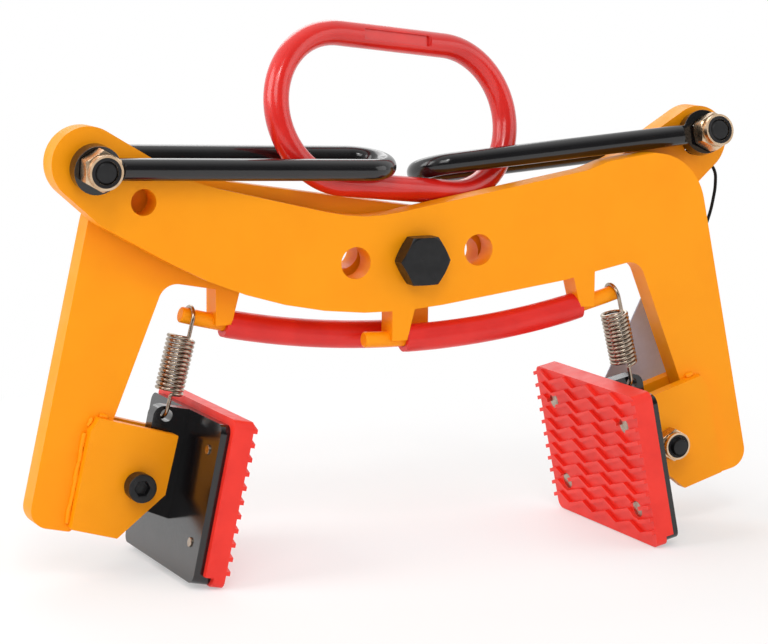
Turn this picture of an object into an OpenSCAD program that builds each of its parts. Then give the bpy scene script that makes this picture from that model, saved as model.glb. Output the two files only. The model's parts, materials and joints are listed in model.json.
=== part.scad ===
// Stone lifting clamp. Two bent plate arms cross at one bolt. A master link
// pulls two bows, the bows lift the arm ends, and the legs close the padded
// jaws on a stone. The clamp stands open on its jaws.
// X runs along the clamp, Y runs away from the front, Z is up.
// The front arm's leg is at +X. The back arm is the front arm turned round.

/* [Arms] */
// Thickness of each arm plate
arm_t = 16; // [12:0.5:20]
// Gap between the two arm plates
arm_gap = 4; // [3:0.5:6]
// Distance from the main pivot out to the bow bolt
bow_bolt_x = 216.5; // [210:0.5:222]
// Height of the bow bolt above the main pivot
bow_bolt_z = 68; // [66:0.5:70]
// Radius of the arm's rounded upper end
arm_end_r = 22.6; // [22:0.1:24]
// Lowest point of the leg below the main pivot
leg_drop = 159; // [150:1:165]
// Distance of the adjusting bolt holes from the main pivot
adjust_x = 43; // [38:0.5:50]
// Distance of the spare bow hole from the main pivot
spare_x = 183; // [178:0.5:186]
// Height of the spare bow hole above the main pivot
spare_z = 43.5; // [40:0.5:46]
// Diameter of the spare bow hole
spare_d = 16.2; // [14:0.1:18]

/* [Main pivot] */
// Diameter of the main pivot bolt
pivot_d = 20; // [16:1:22]
// Width across the flats of the pivot bolt head and nut
pivot_af = 30; // [27:1:34]
// Height of the pivot bolt head
pivot_head_h = 12.5; // [10:0.5:14]
// Height of the pivot nut
pivot_nut_h = 18; // [14:0.5:20]
// Thickness of the washer under the pivot nut
pivot_washer_t = 3; // [2:0.5:4]
// Outer diameter of the pivot washers
pivot_washer_d = 37; // [34:1:42]

/* [Bows] */
// Distance of each bow's bend from the middle of the clamp
bow_end_x = 11.5; // [10:0.5:16]
// Diameter of the bow's round bar
bow_bar_d = 13.6; // [12:0.1:13.8]
// Distance between the two legs of a bow, centre to centre
bow_leg_gap = 36; // [35.8:0.1:37]
// Outer diameter of the bow's eyes
bow_eye_d = 29.5; // [28:0.5:31]
// Thickness of one eye
bow_eye_t = 9; // [8:0.5:10]
// Diameter of the bow bolt
bow_bolt_d = 14; // [12:0.5:14.2]
// Width across the flats of the bow bolt head and nut
bow_af = 22; // [20:0.5:23]
// Height of the bow bolt head
bow_head_h = 10; // [8:0.5:12]
// Height of the bow nut with its collar
bow_nut_h = 15; // [12:0.5:18]
// Hole in the arm for the bow bolt, wide enough for the bow to rock
bow_slack_d = 22; // [21:0.5:23]
// Hole in a bow's eyes for the bow bolt
bow_eye_bore = 18.2; // [18:0.1:18.8]
// Rise of the left bow towards its bend, in degrees
left_bow_pitch = -2.3; // [-2.4:0.1:-1.8]
// Rise of the right bow towards its bend, in degrees
right_bow_pitch = -4.7; // [-4.8:0.1:-4.2]
// Rock of the left bow about its own length, in degrees
left_bow_rock = -8.5; // [-9:0.5:-8]
// Rock of the right bow about its own length, in degrees
right_bow_rock = 15.5; // [15.5:0.5:16]
// Rock of the left bow's bolt, in degrees
left_bolt_rock = -4.5; // [-5:0.5:-4]
// Rock of the right bow's bolt, in degrees
right_bolt_rock = 12.5; // [12.5:0.5:13]
// Swing of the left bow towards the back, in degrees
left_bow_yaw = 1.7; // [1:0.1:2.2]
// Swing of the right bow towards the back, in degrees
right_bow_yaw = 3.1; // [2.8:0.1:3.2]

/* [Master link] */
// Diameter of the link's round bar
link_bar_d = 16; // [15:0.1:16.2]
// Inside length of the link
link_in_l = 162; // [158:1:165]
// Inside width of the link
link_in_w = 80; // [79.4:0.2:80.2]
// Distance of the link's centre from the main pivot, along X
link_x = -2.3; // [-3:0.1:-2]
// Distance of the link's centre from the main pivot, along Y
link_y = 13.9; // [13.6:0.1:14.2]
// Height of the link's centre above the main pivot
link_z = 89.6; // [89.6:0.1:90.4]
// Turn of the link about the vertical, in degrees
link_yaw = 10.7; // [10.5:0.1:11]
// Lean of the link towards the back, in degrees
link_lean = 13.7; // [13.5:0.1:14]
// Dip of the link's right end, in degrees
link_roll = 7; // [6.8:0.1:7.2]
// Length of the flat panel on the link's upper run
panel_l = 52; // [40:1:60]
// Depth of the flat panel into the bar
panel_depth = 1.2; // [0.8:0.1:2]

/* [Handles] */
// Diameter of the round handle bar
bar_d = 10; // [8:0.5:12]
// Radius of the handle bar's long curve
bar_curve_r = 570; // [500:10:650]
// Lowest point of the handle bar's axis below the main pivot
bar_drop = 51.3; // [50:0.1:53]
// Inner end of the handle bar, along X from the main pivot
bar_in_x = -34; // [-36:0.5:-30]
// Outer end of the handle bar, along X from the main pivot
bar_out_x = 149.7; // [148:0.1:153]
// Outer diameter of the hose sleeve
sleeve_d = 16; // [14:0.5:17]
// Wall of the hose sleeve
sleeve_wall = 2; // [1.5:0.1:2.4]

/* [Legs and cheeks] */
// Thickness of the cheek plates
cheek_t = 8; // [6:0.5:10]
// Distance from the main pivot out to the jaw bolt
jaw_x = 184; // [182:0.5:186]
// Depth of the jaw bolt below the main pivot
jaw_z = 132; // [130:0.5:134]
// Radius of the weld beads
weld_r = 2.6; // [2:0.1:3.4]

/* [Jaws] */
// Width of the rubber pad
pad_w = 130; // [110:1:140]
// Height of the rubber pad
pad_h = 103; // [100:0.5:106]
// Thickness of the rubber pad without its tread
pad_t = 13; // [11:0.5:15]
// Height of the tread above the pad
tread_h = 2.5; // [1.5:0.1:3.5]
// Distance between two tread ridges
tread_pitch = 8.8; // [8:0.1:11]
// Thickness of the steel jaw plate
plate_t = 6; // [5:0.5:7]
// Step of the jaw plate inside the pad's side edges
plate_inset = 4.5; // [3:0.5:6]
// Distance from the jaw bolt forward to the back of the pad
pad_back = 34.7; // [33:0.1:36]
// Height of the pad's top above the jaw bolt
pad_top = 54.3; // [53:0.1:56]
// Tilt of the jaw in its rest, top inwards, in degrees
jaw_tilt = 11.8; // [10:0.1:13]
// Thickness of the rib that hangs on the jaw bolt
rib_t = 10; // [8:0.5:11]
// Diameter of the jaw bolt
jaw_bolt_d = 12; // [10:0.5:14]
// Diameter of the jaw bolt's round head
jaw_head_d = 18; // [16:0.5:22]
// Height of the jaw bolt's round head
jaw_head_h = 10; // [8:0.5:12]
// Width across the flats of the jaw nut
jaw_af = 19; // [18:0.5:22]
// Height of the jaw nut with its collar
jaw_nut_h = 12; // [10:0.5:14]
// Thickness of one jaw washer
jaw_washer_t = 2.5; // [1:0.1:2.6]
// Diameter of the pad screws
screw_d = 6; // [5:0.5:6]
// Diameter of the pad screw heads
screw_head_d = 11; // [10:0.5:12]

/* [Springs] */
// Outer diameter of the spring coil
spring_d = 18.2; // [16:0.2:19]
// Diameter of the spring wire
wire_d = 2.2; // [1.8:0.1:2.4]
// Number of turns of the coil
spring_turns = 13; // [11:1:14]
// Distance between two turns
spring_pitch = 2.74; // [2.6:0.02:2.8]
// Place of the spring's upper hook on the handle bar, along X
hook_x = 145.5; // [143:0.5:146]

/* [Tag] */
// Width of the hang tag
tag_w = 48; // [44:1:52]
// Length of the hang tag
tag_l = 98; // [92:1:102]
// Thickness of the hang tag
tag_t = 1; // [0.6:0.1:1.4]
// Diameter of the tag's cord
cord_d = 1.8; // [1.4:0.1:2]

/* [Hidden] */

ORANGE = [0.98, 0.60, 0.10];
RED = [0.88, 0.16, 0.13];
BLACK = [0.08, 0.08, 0.09];
ZINC = [0.80, 0.70, 0.52];
GREY = [0.72, 0.72, 0.76];

RIGHT = 1;   // the side of the front arm's leg
LEFT = -1;   // the side of the back arm's leg
FRONT = -1;  // towards the front, along -Y
REAR = 1;    // towards the back, along +Y

run = 0.1;       // radial clearance of a bolt in a bore that turns on it
seat = 0.05;     // radial clearance of a nut or washer on its bolt
side_gap = 0.5;  // side clearance of a moving plate between its neighbours
skin = 0.3;      // gap between a moving piece and its stop
chamfer = 1.5;   // chamfer on bolt ends
arc_step = 6;    // degrees between two points of a fillet
round_fn = 72;

arm_mid = (arm_t + arm_gap) / 2;
pivot_hole_d = pivot_d + 2 * run;
jaw_hole_d = jaw_bolt_d + 2 * run;

// Slopes of the leg's edges, as run over rise, from the plate's drawing
leg_out_slope = 0.22;
leg_in_slope = 0.41;
leg_out_x = 218.1;  // outer edge of the leg at the pivot's height
leg_in_x = 158.9;   // inner edge of the leg at the pivot's height
foot_slope = 0.225; // slope of the leg's bottom edge

// Height of the main pivot above the floor: the front lower corner of each pad rests on it
pad_low = pad_h - pad_top;
pivot_h = jaw_z + (pad_back + pad_t) * sin(jaw_tilt) + pad_low * cos(jaw_tilt);

function unit(v) = v / norm(v);
function leg_outer(z) = [leg_out_x - leg_out_slope * z, z];
function leg_inner(z) = [leg_in_x - leg_in_slope * z, z];
// The foot edge through the leg's inner bottom corner
function foot_at(x) = -leg_drop + foot_slope * (x - leg_inner(-leg_drop)[0]);
function hex_r(af) = af / sqrt(3);

// Points of an arc that rounds corner b between a and c with radius r
function fillet(a, b, c, r) =
    let (
        u = unit([a[0] - b[0], a[1] - b[1]]),
        v = unit([c[0] - b[0], c[1] - b[1]]),
        half = acos(u * v) / 2,
        centre = [b[0], b[1]] + unit(u + v) * r / sin(half),
        p = [b[0], b[1]] + u * r / tan(half),
        q = [b[0], b[1]] + v * r / tan(half),
        start = atan2(p[1] - centre[1], p[0] - centre[0]),
        turn = atan2(q[1] - centre[1], q[0] - centre[0]) - start,
        sweep = turn > 180 ? turn - 360 : turn < -180 ? turn + 360 : turn,
        n = max(2, ceil(abs(sweep) / arc_step))
    )
    [for (i = [0:n]) centre + r * [cos(start + sweep * i / n), sin(start + sweep * i / n)]];

// Outline through corners [x, z, radius]; a radius of 0 keeps the corner sharp
function rounded(pts) =
    let (n = len(pts))
    [for (i = [0:n - 1]) let (p = pts[i])
        each p[2] == 0 ? [[p[0], p[1]]] : fillet(pts[(i + n - 1) % n], p, pts[(i + 1) % n], p[2])];

// Angle at which a tangent from point p touches a circle, on side s
function tangent_angle(c, r, p, s) =
    atan2(p[1] - c[1], p[0] - c[0]) + s * acos(r / norm([p[0] - c[0], p[1] - c[1]]));

// A plate lying in X and Z, centred on Y
module plate_xz(t) {
    rotate([90, 0, 0]) linear_extrude(height = t, center = true) children();
}

// A cylinder along Y from y0 to y1
module pin_y(d, y0, y1, fn = round_fn) {
    translate([0, y0, 0]) rotate([-90, 0, 0]) cylinder(d = d, h = y1 - y0, $fn = fn);
}

// A bolt shank along Y with a chamfered end on its positive side
module shank_y(d, y0, y1) {
    pin_y(d, y0, y1 - chamfer);
    translate([0, y1 - chamfer, 0]) rotate([-90, 0, 0])
        cylinder(d1 = d, d2 = d - 2 * chamfer, h = chamfer, $fn = round_fn);
}

// A hexagon along Y with two flats level
module hex_y(af, y0, y1) {
    translate([0, y0, 0]) rotate([-90, 0, 0]) cylinder(r = hex_r(af), h = y1 - y0, $fn = 6);
}

// A hexagon along Y whose corners are turned off at both faces
module turned_hex_y(af, y0, y1) {
    h = y1 - y0;
    bevel = af * 0.05;
    intersection() {
        hex_y(af, y0, y1);
        translate([0, y0, 0]) rotate([-90, 0, 0]) rotate_extrude($fn = round_fn)
            polygon([[0, 0], [af / 2, 0], [hex_r(af), bevel], [hex_r(af), h - bevel], [af / 2, h], [0, h]]);
    }
}

module washer_y(d, hole, y0, y1) {
    difference() {
        pin_y(d, y0, y1);
        pin_y(hole, y0 - 1, y1 + 1);
    }
}

// A locking nut along Y: a hexagon, then a round collar on its positive side
module lock_nut(af, bolt, y0, h) {
    collar_h = h * 0.3;
    difference() {
        union() {
            rotate([0, 30, 0]) turned_hex_y(af, y0, y0 + h - collar_h);
            pin_y(af * 0.95, y0 + h - collar_h - 0.5, y0 + h);
        }
        pin_y(bolt + 2 * seat, y0 - 1, y0 + h + 1);
    }
}

// A closed tube of radius r through points, with rings that don't twist
function side_dir(t) = unit(cross(t, abs(t[2]) < 0.9 ? [0, 0, 1] : [1, 0, 0]));
function path_dir(p, i) =
    unit(i == 0 ? p[1] - p[0] : i == len(p) - 1 ? p[i] - p[i - 1] : unit(p[i + 1] - p[i]) + unit(p[i] - p[i - 1]));
function frames(p) =
    [for (i = 0, t = path_dir(p, 0), n = side_dir(t); i < len(p);
        i = i + 1,
        t = i < len(p) ? path_dir(p, i) : t,
        n = unit(n - (n * t) * t)) [p[i], t, n]];
module tube(p, r, sides) {
    f = frames(p);
    rings = [for (g = f) for (k = [0:sides - 1])
        g[0] + r * (cos(360 * k / sides) * g[2] + sin(360 * k / sides) * cross(g[1], g[2]))];
    last = len(p) - 1;
    walls = [for (i = [0:last - 1]) for (k = [0:sides - 1])
        [i * sides + k, i * sides + (k + 1) % sides, (i + 1) * sides + (k + 1) % sides, (i + 1) * sides + k]];
    caps = [
        [for (k = [sides - 1:-1:0]) k],
        [for (k = [0:sides - 1]) last * sides + k]
    ];
    polyhedron(rings, [for (w = concat(walls, caps)) [for (j = [len(w) - 1:-1:0]) w[j]]], convexity = 10);
}

// Places a child that is drawn in the front arm's frame: its plate lies on Y = 0,
// the main pivot is the origin and its leg is at +X
module on_side(side) {
    translate([0, 0, pivot_h]) rotate([0, 0, side == RIGHT ? 0 : 180]) translate([0, -arm_mid, 0]) children();
}

// Place of the jaw bolt in the arm's frame
module at_jaw_bolt() {
    translate([jaw_x, 0, -jaw_z]) children();
}

// The jaw's own frame: the jaw bolt is the origin, +X points back from the pad, Z is up along the pad
module in_jaw() {
    at_jaw_bolt() rotate([0, -jaw_tilt, 0]) children();
}

// A bow's own frame: its bolt is the origin, +X runs to its bend, -Y faces front for both bows
module at_bow(side) {
    pitch = side == LEFT ? left_bow_pitch : right_bow_pitch;
    rock = side == LEFT ? left_bow_rock : right_bow_rock;
    yaw = side == LEFT ? left_bow_yaw : right_bow_yaw;
    translate([side * bow_bolt_x, side == LEFT ? -arm_mid : arm_mid, pivot_h + bow_bolt_z])
        rotate([0, 0, -side * yaw])
            rotate([0, side * pitch, 0])
                rotate([-rock, 0, 0])
                    mirror([side == LEFT ? 0 : 1, 0, 0])
                        children();
}

// The bow bolt's own frame: it rocks less than its bow, which is loose on it
module at_bow_bolt(side) {
    rock = side == LEFT ? left_bolt_rock : right_bolt_rock;
    translate([side * bow_bolt_x, side == LEFT ? -arm_mid : arm_mid, pivot_h + bow_bolt_z])
        rotate([-rock, 0, 0])
            mirror([0, 1, 0])
                children();
}

// Arms

bar_x0 = -4; // lowest point of the handle bar's curve, along X
bar_c = [bar_x0, bar_curve_r - bar_drop];
function bar_z(x) = bar_c[1] - sqrt(bar_curve_r * bar_curve_r - (x - bar_c[0]) * (x - bar_c[0]));
function bar_angle(x) = asin((x - bar_c[0]) / bar_curve_r);

outer_tab = [112, 129];    // where the outer tab leaves the arm, along X
inner_tab = [-17.5, -0.5]; // where the inner tab leaves the arm, along X
tab_taper = 6.5;           // how much a tab narrows on the side of the sleeve
tab_root = 25;             // reach of a tab up into the arm
adjust_rise = 1.75;        // mean height of the adjusting holes above the main pivot
adjust_step = 2.05;        // how much each adjusting hole lies off that mean

// Corners of the arm from the plate's drawing, as [x, z, radius of the corner]
neck_upper = [-150.2, 53.4, 100];
saddle = [-37.5, 26.4, 123];      // the dip over the main pivot, where the master link lies
rise_foot = [122, 51.8, 40];
rise_head = [138, 57.2, 30];
shoulder = [203.6, 65.9, 40];
inner_corner_z = -8.4;            // where the leg's inner edge meets the arm's lower edge
inner_corner_r = 12;
belly_leg = [105, -19.3, 100];
belly_neck = [-80.7, -42.4, 300];
neck_lower = [-210, 30.5, 24];
leg_foot_x = 252;                 // the leg's outer bottom corner
leg_foot_r = [12, 3];             // radii of the leg's outer and inner bottom corners
end_shift = [-1, -0.6];           // the rounded end's centre, from the bow bolt

// Outline of the arm, round from the bow bolt's end
function arm_outline() =
    let (
        end = [-bow_bolt_x, bow_bolt_z] + end_shift,
        a0 = tangent_angle(end, arm_end_r, neck_lower, -1) + 360,
        a1 = tangent_angle(end, arm_end_r, neck_upper, 1),
        n = ceil((a0 - a1) / arc_step),
        arc = [for (i = [0:n]) let (a = a0 + (a1 - a0) * i / n) end + arm_end_r * [cos(a), sin(a)]]
    )
    concat(arc, rounded([
        [each arc[n], 0],
        neck_upper, saddle, rise_foot, rise_head, shoulder,
        [each leg_outer(foot_at(leg_foot_x)), leg_foot_r[0]],
        [each leg_inner(-leg_drop), leg_foot_r[1]],
        [each leg_inner(inner_corner_z), inner_corner_r],
        belly_leg, belly_neck, neck_lower,
        [each arc[0], 0]
    ]));

module tab(x0, x1, slant_side) {
    foot = bar_z((x0 + x1) / 2);
    polygon([
        [x0, foot + tab_root], [x1, foot + tab_root],
        [x1 - (slant_side > 0 ? tab_taper : 0), foot],
        [x0 + (slant_side < 0 ? tab_taper : 0), foot]
    ]);
}

module bar_solid(d, x_from, x_to) {
    a0 = bar_angle(x_from);
    a1 = bar_angle(x_to);
    translate([bar_c[0], 0, bar_c[1]]) rotate([90, 0, 0]) rotate([0, 0, a0 - 90])
        rotate_extrude(angle = a1 - a0, $fn = 360) translate([bar_curve_r, 0]) circle(d = d, $fn = 32);
}

module arm(side) {
    color(ORANGE) on_side(side) difference() {
        plate_xz(arm_t) union() {
            polygon(arm_outline());
            tab(outer_tab[0], outer_tab[1], -1);
            tab(inner_tab[0], inner_tab[1], 1);
        }
        pin_y(pivot_hole_d, -arm_t, arm_t);
        for (s = [-1, 1]) translate([s * adjust_x, 0, adjust_rise + s * adjust_step])
            pin_y(pivot_hole_d, -arm_t, arm_t);
        translate([-spare_x, 0, spare_z]) pin_y(spare_d, -arm_t, arm_t);
        translate([-bow_bolt_x, 0, bow_bolt_z]) pin_y(bow_slack_d, -arm_t, arm_t);
        bar_solid(bar_d + 2 * seat, bar_in_x - 2, bar_out_x + 2);
    }
}

// Main pivot

pivot_rear = arm_gap / 2 + arm_t; // the back arm's rear face

module arm_spacer() {
    color(ZINC) translate([0, 0, pivot_h])
        washer_y(pivot_washer_d, pivot_d + 2 * seat, -arm_gap / 2 + skin, arm_gap / 2 - skin);
}

module pivot_bolt() {
    color(BLACK) translate([0, 0, pivot_h]) {
        turned_hex_y(pivot_af, -pivot_rear - skin - pivot_head_h, -pivot_rear - skin);
        shank_y(pivot_d, -pivot_rear - skin - 1, pivot_rear + skin + pivot_washer_t + pivot_nut_h + 5);
    }
}

module pivot_washer() {
    color(ZINC) translate([0, 0, pivot_h])
        washer_y(pivot_washer_d, pivot_d + 2 * seat, pivot_rear + skin, pivot_rear + skin + pivot_washer_t);
}

module pivot_nut() {
    color(ZINC) translate([0, 0, pivot_h])
        lock_nut(pivot_af, pivot_d, pivot_rear + skin + pivot_washer_t, pivot_nut_h);
}

// Bows

eye_in = bow_leg_gap / 2 - 5.1;   // inner face of an eye from the bow's middle
eye_out = eye_in + bow_eye_t;     // outer face of an eye from the bow's middle
eye_clip = 20;                    // length over which the bar is flattened into the eye
bow_bend_x = bow_bolt_x - bow_end_x - (bow_leg_gap + bow_bar_d) / 2;
rock_gap = 1.4;                   // room between an eye and the bolt's head or nut, which rock apart

module bow_leg(s) {
    leg_y = s * bow_leg_gap / 2;
    pin_y(bow_eye_d, s > 0 ? eye_in : -eye_out, s > 0 ? eye_out : -eye_in);
    intersection() {
        translate([0, leg_y, 0]) rotate([0, 90, 0]) cylinder(d = bow_bar_d, h = eye_clip + 1, $fn = 48);
        translate([0, s > 0 ? eye_in : -eye_out, -bow_bar_d]) cube([eye_clip + 1, bow_eye_t, 2 * bow_bar_d]);
    }
    translate([eye_clip, leg_y, 0]) rotate([0, 90, 0])
        cylinder(d = bow_bar_d, h = bow_bend_x - eye_clip, $fn = 48);
}

module bow(side) {
    color(BLACK) at_bow(side) difference() {
        union() {
            for (s = [FRONT, REAR]) bow_leg(s);
            translate([bow_bend_x, 0, 0]) rotate([0, 0, -90])
                rotate_extrude(angle = 180, $fn = 96) translate([bow_leg_gap / 2, 0]) circle(d = bow_bar_d, $fn = 48);
        }
        pin_y(bow_eye_bore, -eye_out - bow_bar_d, eye_out + bow_bar_d);
    }
}

module bow_bolt(side) {
    color(BLACK) at_bow_bolt(side) {
        turned_hex_y(bow_af, -eye_out - rock_gap - bow_head_h, -eye_out - rock_gap);
        shank_y(bow_bolt_d, -eye_out - rock_gap - 1, eye_out + rock_gap + bow_nut_h + 0.8);
    }
}

module bow_nut(side) {
    color(ZINC) at_bow_bolt(side) lock_nut(bow_af, bow_bolt_d, eye_out + rock_gap, bow_nut_h);
}

// Master link

link_r = (link_in_w + link_bar_d) / 2;
link_half = (link_in_l - link_in_w) / 2;

module master_link() {
    color(RED) translate([link_x, link_y, pivot_h + link_z])
        rotate([0, 0, link_yaw]) rotate([90 - link_lean, 0, 0]) rotate([0, 0, -link_roll])
            difference() {
                union() {
                    for (s = [-1, 1]) {
                        translate([-link_half, s * link_r, 0]) rotate([0, 90, 0])
                            cylinder(d = link_bar_d, h = 2 * link_half, $fn = 48);
                        translate([s * link_half, 0, 0]) rotate([0, 0, -s * 90])
                            rotate_extrude(angle = 180, $fn = 96)
                                translate([link_r, 0]) circle(d = link_bar_d, $fn = 48);
                    }
                }
                translate([-panel_l / 2, link_r - link_bar_d, link_bar_d / 2 - panel_depth])
                    cube([panel_l, 2 * link_bar_d, link_bar_d]);
            }
}

// Handles

sleeve_bore = sleeve_d - 2 * sleeve_wall;
sleeve_in_x = inner_tab[1] - tab_taper + 1.2;
sleeve_out_x = outer_tab[0] + tab_taper + 1.8;

module handle_bar(side) {
    color(ORANGE) on_side(side) bar_solid(bar_d, bar_in_x, bar_out_x);
}

module handle_sleeve(side) {
    tab_clear = 0.3;
    color(RED) on_side(side) difference() {
        bar_solid(sleeve_d, sleeve_in_x, sleeve_out_x);
        bar_solid(sleeve_bore, sleeve_in_x - 1, sleeve_out_x + 1);
        plate_xz(arm_t + 2 * tab_clear) offset(delta = tab_clear) {
            tab(outer_tab[0], outer_tab[1], -1);
            tab(inner_tab[0], inner_tab[1], 1);
        }
    }
}

// Cheeks

cheek_in = [157, -103];    // inner top corner of a cheek
cheek_top = [208, -88];    // outer top corner of a cheek
cheek_shoulder_z = -96;    // height where its outer edge begins
cheek_foot_z = -155.5;     // height where its outer edge ends
cheek_toe = [197.5, -164]; // its lowest corner
cheek_low = [166, -139.5]; // its inner lower corner
cheek_edge = 25.5;         // strip of the leg left bare outside the cheek
cheek_corner_r = 1;      // radius of the cheek's cut corners
weld_stop = 2;           // length left bare at each corner of a cheek

function cheek_outline() = [
    cheek_in, cheek_top,
    leg_outer(cheek_shoulder_z) - [cheek_edge, 0],
    leg_outer(cheek_foot_z) - [cheek_edge, 0],
    cheek_toe, cheek_low
];

function cheek_shape() = rounded([for (p = cheek_outline()) [p[0], p[1], cheek_corner_r]]);

module cheek(side, face) {
    color(ORANGE) on_side(side) translate([0, face * (arm_t + cheek_t) / 2, 0]) difference() {
        plate_xz(cheek_t) polygon(cheek_shape());
        at_jaw_bolt() pin_y(jaw_hole_d, -cheek_t, cheek_t);
    }
}

// One quarter-round weld bead from a to b, between a cheek's edge and the face of the leg
module bead(a, b, face) {
    v = b - a;
    translate([a[0], face * arm_t / 2, a[1]]) rotate([0, -atan2(v[1], v[0]), 0]) translate([weld_stop, 0, 0])
        rotate([90, 0, 90]) linear_extrude(height = norm(v) - 2 * weld_stop)
            polygon([[0, 0], for (q = [0:15:90]) weld_r * [face * cos(q), sin(q)]]);
}

// Beads along the top, the shoulder and the outer side of both cheeks
module cheek_welds(side) {
    c = cheek_outline();
    top_start = cheek_top + (cheek_top[0] - leg_inner(-90)[0] - weld_r) * unit(cheek_in - cheek_top);
    color(ORANGE) on_side(side) for (face = [FRONT, REAR]) {
        bead(top_start, c[1], face);
        bead(c[1], c[2], face);
        bead(c[2], c[3], face);
    }
}

// Jaws, drawn with the pad at -X of the jaw bolt

rib_top = pad_top - 4.6;  // top of the rib above the jaw bolt
rib_back_u = -6;          // rear edge of the rib's upper lug
heel_z = [-104, -113];    // heights of the heel's face, which meets the leg's inner edge
rib_boss_r = 13;          // radius of the rib round the jaw bolt
rib_low = 20;             // reach of the rib below the jaw bolt
lug_hole_d = 8;
lug_hole = [-14.5, rib_top - 5.7];
plate_back = pad_back - plate_t;
ledge_t = 6;              // thickness of the ledge under the pad
ledge_reach = 5.5;        // reach of the ledge under the pad
screw_rows = [29.2, -28.3]; // heights of the screws from the pad's middle
screw_cols = [-46, 46];   // places of the screws across the pad
plate_corner_r = 6;       // corners of the jaw plate
pad_corner_r = 5;         // corners of the pad
pad_mid = pad_top - pad_h / 2;

// A point of the arm's frame in the jaw's frame
function to_jaw(p) =
    let (x = p[0] - jaw_x, z = p[1] + jaw_z)
    [x * cos(jaw_tilt) + z * sin(jaw_tilt), z * cos(jaw_tilt) - x * sin(jaw_tilt)];

// The spring holds the rib's heel against the leg, which stops the jaw in its rest
module jaw_rib(side) {
    heel = [for (z = heel_z) to_jaw(leg_inner(z) - [skin, 0])];
    color(BLACK) on_side(side) in_jaw() difference() {
        plate_xz(rib_t) union() {
            polygon(rounded([
                [-plate_back, -rib_low, 0],
                [-plate_back, rib_top, 0],
                [rib_back_u, rib_top, 7],
                [rib_back_u, heel[0][1] + 3, 6],
                [each heel[0], 1.5],
                [each heel[1], 2],
                [rib_boss_r, 0, 0],
                [rib_boss_r * 0.4, -rib_boss_r, 0]
            ]));
            circle(r = rib_boss_r, $fn = 48);
        }
        pin_y(jaw_hole_d, -rib_t, rib_t);
        translate([lug_hole[0], 0, lug_hole[1]]) pin_y(lug_hole_d, -rib_t, rib_t, 48);
    }
}

// A block with rounded corners as seen from the stone, w wide, from z0 up to z1
module rounded_block(w, z0, z1, r) {
    depth = pad_back + pad_t + tread_h + 1;
    translate([-depth, 0, 0]) rotate([90, 0, 90]) linear_extrude(height = depth) polygon(rounded([
        [-w / 2, z0, r], [w / 2, z0, r], [w / 2, z1, r], [-w / 2, z1, r]
    ]));
}

module jaw_plate(side) {
    w = pad_w - 2 * plate_inset;
    color(BLACK) on_side(side) in_jaw() difference() {
        intersection() {
            translate([0, w / 2, 0]) rotate([90, 0, 0]) linear_extrude(height = w) polygon([
                [-pad_back, pad_top - plate_inset], [-plate_back, pad_top - plate_inset],
                [-plate_back, -pad_low], [-pad_back - ledge_reach, -pad_low],
                [-pad_back - ledge_reach, -pad_low + ledge_t], [-pad_back, -pad_low + ledge_t]
            ]);
            rounded_block(w, -pad_low, pad_top - plate_inset, plate_corner_r);
        }
        at_screws() rotate([0, 90, 0]) cylinder(d = screw_d + 2 * seat, h = 4 * plate_t, center = true, $fn = 32);
    }
}

// Each screw's place on the pad's back plane
module at_screws() {
    for (y = screw_cols) for (z = screw_rows) translate([-pad_back, y, pad_mid + z]) children();
}

module screw_solid(d, head_d, front, back) {
    head_h = (head_d - d) / 2;
    rotate([0, 90, 0]) {
        translate([0, 0, -front]) cylinder(d = d, h = front + back, $fn = 32);
        translate([0, 0, -front]) cylinder(d1 = head_d, d2 = d, h = head_h, $fn = 32);
    }
}

module pad_screws(side) {
    color(ZINC) on_side(side) in_jaw() at_screws() screw_solid(screw_d, screw_head_d, pad_t, plate_t + 1);
}

// One zigzag ridge across the pad, standing on its front face
ridge_t = 2.6;         // thickness of a tread ridge
zig_y = [19, 12];      // lengths of the long and the short stroke of a ridge, across the pad
zig_z = 5.6;           // drop of the long stroke
tread_margin = 6;      // plain strip left below the tread

function zigzag(y0, y1) =
    let (period = zig_y[0] + zig_y[1], n = ceil((y1 - y0) / period))
    [for (i = [0:n - 1]) for (p = [[0, 0], [zig_y[0], -zig_z]]) [y0 + i * period + p[0], p[1]]];

module ridge() {
    line = concat(zigzag(-pad_w / 2 - 3, pad_w / 2 + 40), []);
    intersection() {
        translate([-pad_back - pad_t + 0.5, 0, 0]) rotate([90, 0, -90]) linear_extrude(height = tread_h + 0.5)
            polygon(concat(
                [for (p = line) [-p[0], p[1]]],
                [for (i = [len(line) - 1:-1:0]) [-line[i][0], line[i][1] - ridge_t]]
            ));
        translate([-pad_back - pad_t - 2 * tread_h, -pad_w / 2, -20]) cube([4 * tread_h, pad_w, 40]);
    }
}

module pad(side) {
    rows = floor((pad_h - zig_z - ridge_t - tread_margin) / tread_pitch);
    top = pad_top - 1.2;
    color(RED) on_side(side) in_jaw() difference() {
        intersection() {
            union() {
                translate([0, pad_w / 2, 0]) rotate([90, 0, 0]) linear_extrude(height = pad_w) polygon([
                    [-pad_back - pad_t, pad_top], [-pad_back, pad_top],
                    [-pad_back, -pad_low + ledge_t + seat],
                    [-pad_back - ledge_reach - seat, -pad_low + ledge_t + seat],
                    [-pad_back - ledge_reach - seat, -pad_low], [-pad_back - pad_t, -pad_low]
                ]);
                for (i = [0:rows]) translate([0, 0, top - i * tread_pitch]) ridge();
            }
            rounded_block(pad_w, -pad_low, pad_top, pad_corner_r);
        }
        at_screws() screw_solid(screw_d + 2 * seat, screw_head_d + 2 * seat, pad_t, 1);
        at_screws() translate([-pad_t - tread_h - 1, 0, 0]) rotate([0, 90, 0])
            cylinder(d = screw_head_d + 2 * seat, h = tread_h + 1, $fn = 32);
    }
}

jaw_stack = arm_t / 2 + cheek_t; // outer face of a cheek from the arm's middle

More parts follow.
